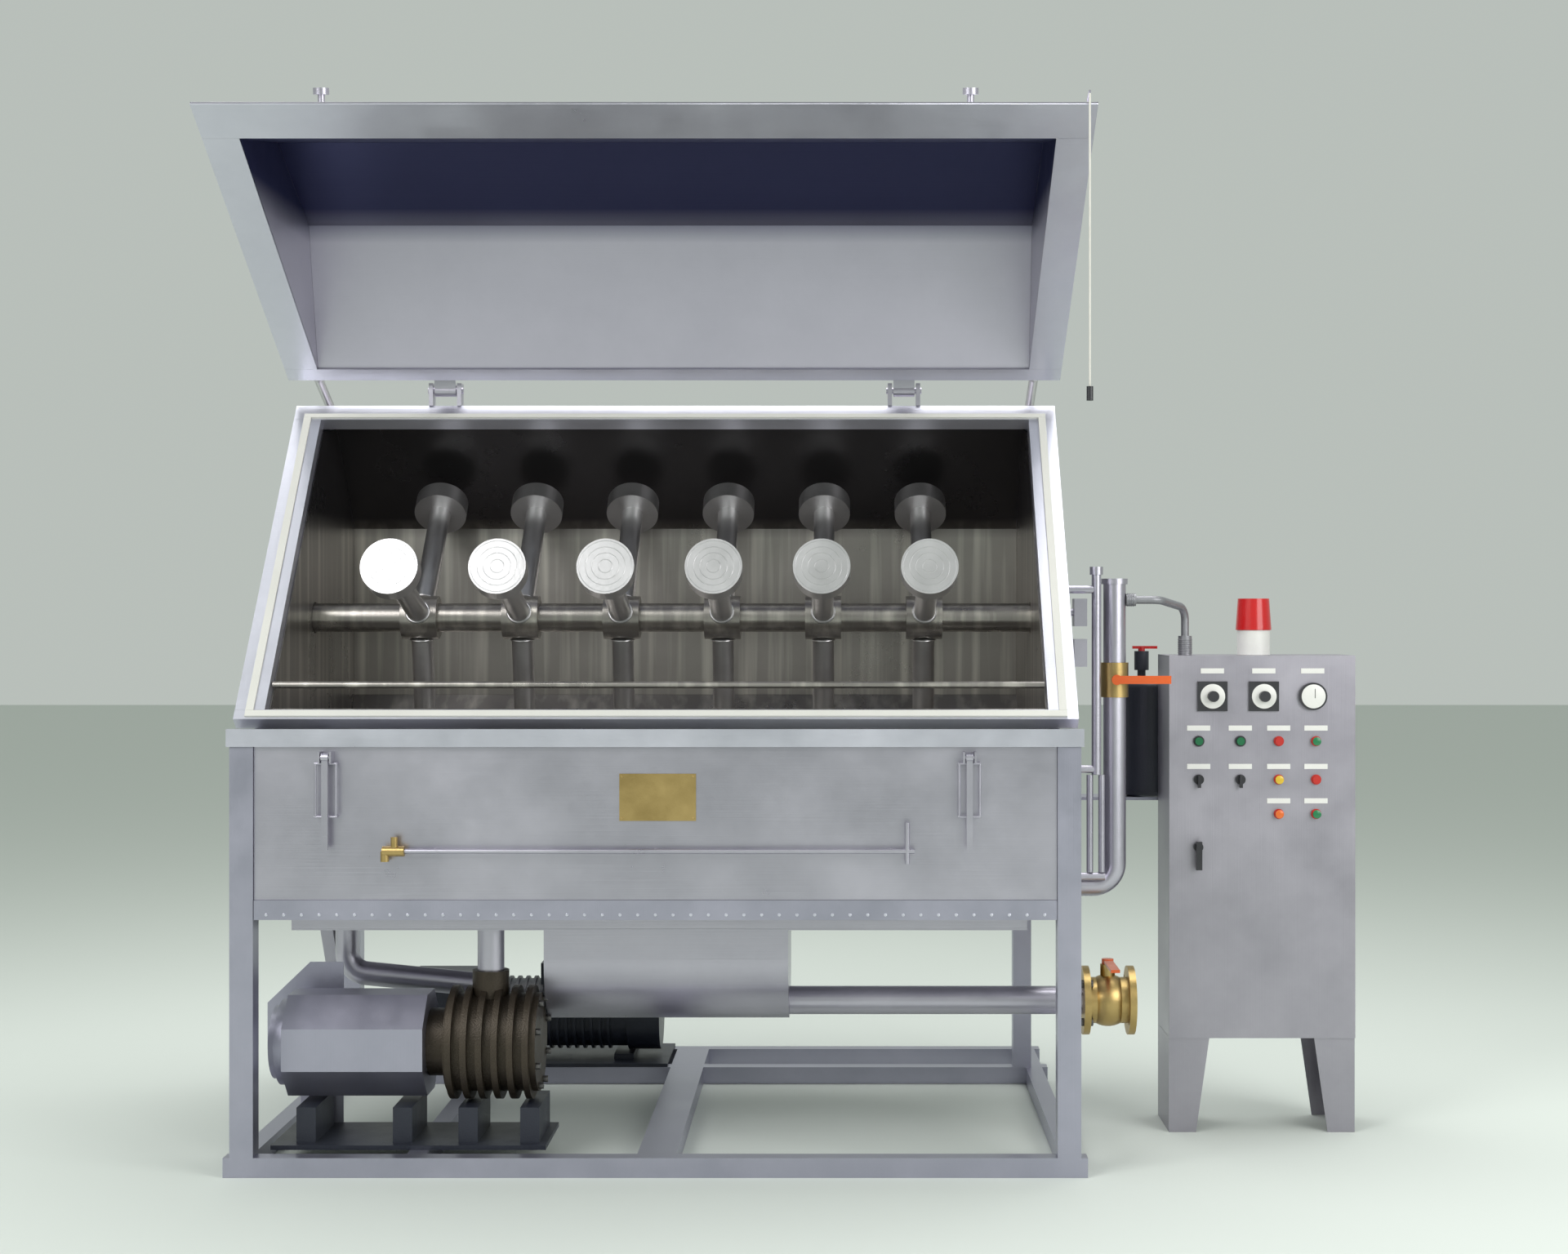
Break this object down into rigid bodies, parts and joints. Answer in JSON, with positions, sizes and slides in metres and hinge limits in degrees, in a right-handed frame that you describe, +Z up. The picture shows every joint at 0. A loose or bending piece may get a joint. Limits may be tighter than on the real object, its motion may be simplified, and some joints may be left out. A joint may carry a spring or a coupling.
{
  "type": "bulk milk tank",
  "caption": "Stainless milk tank with a sloped mouth, hinged lid, peg agitator, chain drive, transfer pump, end pipework and a control cabinet.",
  "frame": {"origin": "Underside of the base's middle cross rail, halfway between the front and rear legs, on the floor.", "axes": "+X to the operator's right along the tank, +Y from the operator to the back, +Z up."},
  "size_m": [2.992, 1.9212, 2.7597],
  "materials": {
    "stainless_frame": "satin",
    "stainless_tank": "satin",
    "stainless_bright": "polished",
    "stainless_inside": "satin",
    "lid_inside": "satin",
    "turned_steel": "polished",
    "chain_steel": "satin",
    "black_machine": "satin",
    "bronze_black_iron": "satin",
    "brass": "satin",
    "seal_rubber": "matte",
    "orange_lever": "gloss",
    "red_plastic": "gloss",
    "white_plastic": "gloss",
    "cabinet_steel": "satin",
    "dark_plastic": "satin",
    "grey_conduit": "matte",
    "cord": "matte",
    "green_plastic": "gloss",
    "lamp_plastic": "gloss"
  },
  "bodies": {
    "tank": {"base_rails": "stainless_frame", "frame_legs": "stainless_frame", "pump_motor_shroud": "stainless_frame", "vessel_bracket": "stainless_frame", "tank_casing": "stainless_tank", "discharge_sump": "stainless_tank", "discharge_pipe": "stainless_tank", "pump_pipes": "stainless_tank", "riser_pipe": "stainless_tank", "chain_guard": "stainless_tank", "latch_brackets": "stainless_tank", "gauge_pipe": "stainless_tank", "hinge_brackets": "stainless_tank", "end_fittings": "stainless_tank", "mouth_rim": "stainless_bright", "tank_liner": "stainless_inside", "drive_chain": "chain_steel", "shaft_bearings": "chain_steel", "drive_motor": "black_machine", "machine_mounts": "black_machine", "expansion_vessel": "black_machine", "pump_head": "bronze_black_iron", "nameplate": "brass", "gauge_cock": "brass", "riser_valve_body": "brass", "discharge_valve_body": "brass", "rim_gasket": "seal_rubber", "beacon_lens": "red_plastic", "beacon_base": "white_plastic", "cabinet_shell": "cabinet_steel", "cabinet_legs": "cabinet_steel", "conduit": "grey_conduit"},
    "lid": {"lid_shell": "stainless_tank", "lid_liner": "lid_inside", "lid_rim": "stainless_bright", "lid_keepers": "stainless_tank", "lid_hinge_leaves": "stainless_tank", "counterweight": "turned_steel"},
    "cord": {"pull_cord": "cord", "pull_knob": "dark_plastic"},
    "agitator": {"agitator_shaft": "stainless_inside", "agitator_pegs": "turned_steel"},
    "drive": {"drive_sprocket": "chain_steel"},
    "left_latch": {"latch_lever_left": "stainless_tank"},
    "right_latch": {"latch_lever_right": "stainless_tank"},
    "outlet_lever": {"discharge_lever": "orange_lever"},
    "water_lever": {"riser_lever": "orange_lever"},
    "tank_lever": {"vessel_lever": "red_plastic"},
    "impeller": {"pump_impeller": "bronze_black_iron"},
    "door": {"cabinet_door": "cabinet_steel", "panel_labels": "white_plastic", "panel_instruments": "dark_plastic", "indicator_lamps": "lamp_plastic"},
    "handle": {"door_handle": "dark_plastic"},
    "start": {"start_button": "green_plastic"},
    "run": {"run_button": "green_plastic"},
    "mode": {"mode_selector": "dark_plastic"},
    "pump_switch": {"pump_selector": "dark_plastic"},
    "timer": {"timer_knob": "dark_plastic"},
    "thermostat": {"thermostat_knob": "dark_plastic"}
  },
  "joints": [
    {"name": "lid_hinge", "type": "hinge", "parent": "tank", "child": "lid", "pos_m": [0, 0.11, 2.07], "axis": [1, 0, 0], "range_deg": [0, 80]},
    {"name": "cord_swing", "type": "hinge", "parent": "lid", "child": "cord", "pos_m": [1.067, -0.98824, 2.68362], "axis": [1, 0, 0], "range_deg": [-85, 5]},
    {"name": "agitator_spin", "type": "hinge", "parent": "tank", "child": "agitator", "pos_m": [0, -0.025, 1.423], "axis": [1, 0, 0], "continuous": true},
    {"name": "drive_spin", "type": "hinge", "parent": "tank", "child": "drive", "pos_m": [0, 0.75, 0.19], "axis": [1, 0, 0], "continuous": true},
    {"name": "left_latch_pivot", "type": "hinge", "parent": "tank", "child": "left_latch", "pos_m": [-0.835, -0.647, 1.07], "axis": [-1, 0, 0], "range_deg": [0, 110]},
    {"name": "right_latch_pivot", "type": "hinge", "parent": "tank", "child": "right_latch", "pos_m": [0.798, -0.647, 1.07], "axis": [-1, 0, 0], "range_deg": [0, 110]},
    {"name": "outlet_valve_turn", "type": "hinge", "parent": "tank", "child": "outlet_lever", "pos_m": [1.195, -0.215, 0.491], "axis": [0, 0, 1], "range_deg": [0, 90]},
    {"name": "riser_valve_turn", "type": "hinge", "parent": "tank", "child": "water_lever", "pos_m": [1.222, -0.2, 1.254], "axis": [0, -1, 0], "range_deg": [0, 90]},
    {"name": "vessel_valve_turn", "type": "hinge", "parent": "tank", "child": "tank_lever", "pos_m": [1.345, 0.245, 1.335], "axis": [0, 0, 1], "range_deg": [0, 90]},
    {"name": "impeller_spin", "type": "hinge", "parent": "tank", "child": "impeller", "pos_m": [0, -0.395, 0.305], "axis": [1, 0, 0], "continuous": true},
    {"name": "door_hinge", "type": "hinge", "parent": "tank", "child": "door", "pos_m": [1.892, -0.103, 0.79], "axis": [0, 0, 1], "range_deg": [0, 110]},
    {"name": "door_handle_turn", "type": "hinge", "parent": "door", "child": "handle", "pos_m": [1.457, -0.125, 0.79], "axis": [0, 1, 0], "range_deg": [0, 90]},
    {"name": "start_press", "type": "slide", "parent": "door", "child": "start", "axis": [0, 1, 0], "range_m": [0, 0.003], "stiffness_N_per_m": 600},
    {"name": "run_press", "type": "slide", "parent": "door", "child": "run", "axis": [0, 1, 0], "range_m": [0, 0.003], "stiffness_N_per_m": 600},
    {"name": "mode_turn", "type": "hinge", "parent": "door", "child": "mode", "pos_m": [1.459, -0.12, 0.976], "axis": [0, 1, 0], "range_deg": [-45, 45]},
    {"name": "pump_switch_turn", "type": "hinge", "parent": "door", "child": "pump_switch", "pos_m": [1.574, -0.12, 0.976], "axis": [0, 1, 0], "range_deg": [-45, 45]},
    {"name": "timer_turn", "type": "hinge", "parent": "door", "child": "timer", "pos_m": [1.497, -0.12, 1.206], "axis": [0, 1, 0], "range_deg": [0, 270]},
    {"name": "thermostat_turn", "type": "hinge", "parent": "door", "child": "thermostat", "pos_m": [1.639, -0.12, 1.206], "axis": [0, 1, 0], "range_deg": [0, 270]}
  ],
  "couplings": [
    {"joint": "cord_swing", "follows": "lid_hinge", "ratio": -1},
    {"joint": "drive_spin", "follows": "agitator_spin", "ratio": 1.6875}
  ]
}
